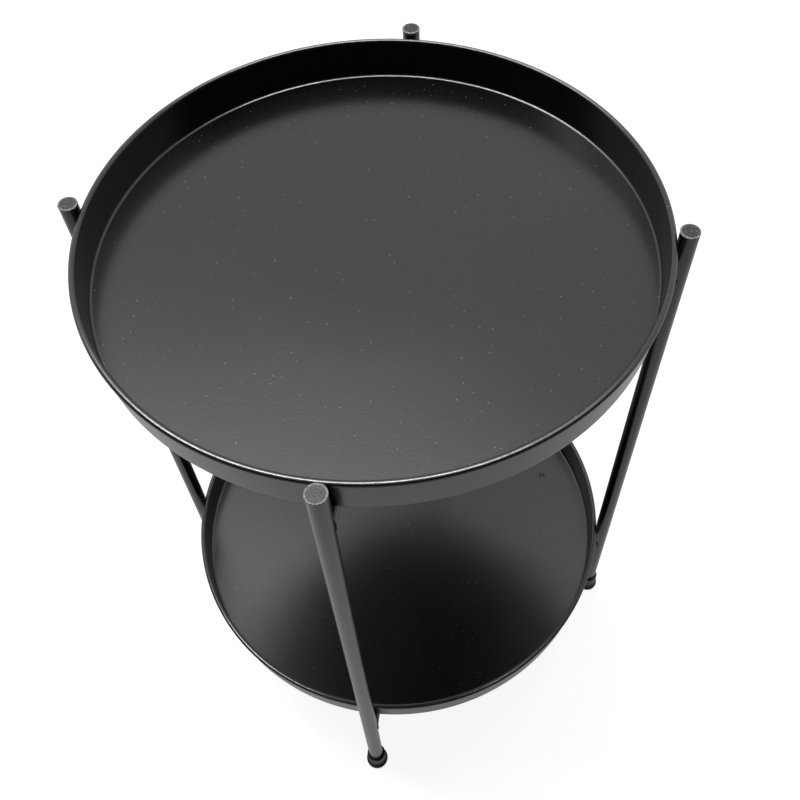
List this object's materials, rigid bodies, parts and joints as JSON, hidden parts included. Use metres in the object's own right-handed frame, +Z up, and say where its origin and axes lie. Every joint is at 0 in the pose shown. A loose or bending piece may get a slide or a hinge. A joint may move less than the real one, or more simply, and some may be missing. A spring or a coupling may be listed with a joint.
{
  "type": "two-tier folding side table",
  "caption": "Round two-tier metal side table: lift-off rimmed trays on a folding stand of crossing tube frames with rubber feet.",
  "frame": {"origin": "on the floor, on the vertical axis about which the stand folds", "axes": "+Z up; the straight frame runs along Y with its front leg towards -Y; the cranked frame runs close to X"},
  "size_m": [0.425, 0.4252, 0.5498],
  "materials": {
    "tray_paint": "satin black powder coat on pressed sheet steel",
    "frame_paint": "satin black powder coat on steel tube",
    "cap_paint": "satin black, with a worn bright edge",
    "foot_rubber": "matt black rubber",
    "plated_steel": "zinc-plated steel",
    "spacer_nylon": "black nylon"
  },
  "bodies": {
    "straight_frame": {"front_leg": "frame_paint", "back_leg": "frame_paint", "upper_straight_crossbar": "frame_paint", "lower_straight_crossbar": "frame_paint", "front_leg_cap": "cap_paint", "back_leg_cap": "cap_paint", "front_foot": "foot_rubber", "back_foot": "foot_rubber", "pivot_studs": "plated_steel", "spacer_washers": "spacer_nylon", "plain_washers": "plated_steel", "lock_nuts": "plated_steel"},
    "cranked_frame": {"right_leg": "frame_paint", "left_leg": "frame_paint", "upper_cranked_crossbar": "frame_paint", "lower_cranked_crossbar": "frame_paint", "right_leg_cap": "cap_paint", "left_leg_cap": "cap_paint", "right_foot": "foot_rubber", "left_foot": "foot_rubber"},
    "upper_tray": {"upper_tray": "tray_paint"},
    "lower_tray": {"lower_tray": "tray_paint"}
  },
  "joints": [
    {"name": "frame_fold", "type": "hinge", "parent": "straight_frame", "child": "cranked_frame", "pos_m": [0, 0, 0.3], "axis": [0, 0, 1], "range_deg": [-85.5, 81.5]},
    {"name": "upper_tray_lift", "type": "slide", "parent": "straight_frame", "child": "upper_tray", "axis": [0, 0, 1], "range_m": [0, 0.1]},
    {"name": "lower_tray_lift", "type": "slide", "parent": "straight_frame", "child": "lower_tray", "axis": [0, 0, 1], "range_m": [0, 0.355]}
  ]
}
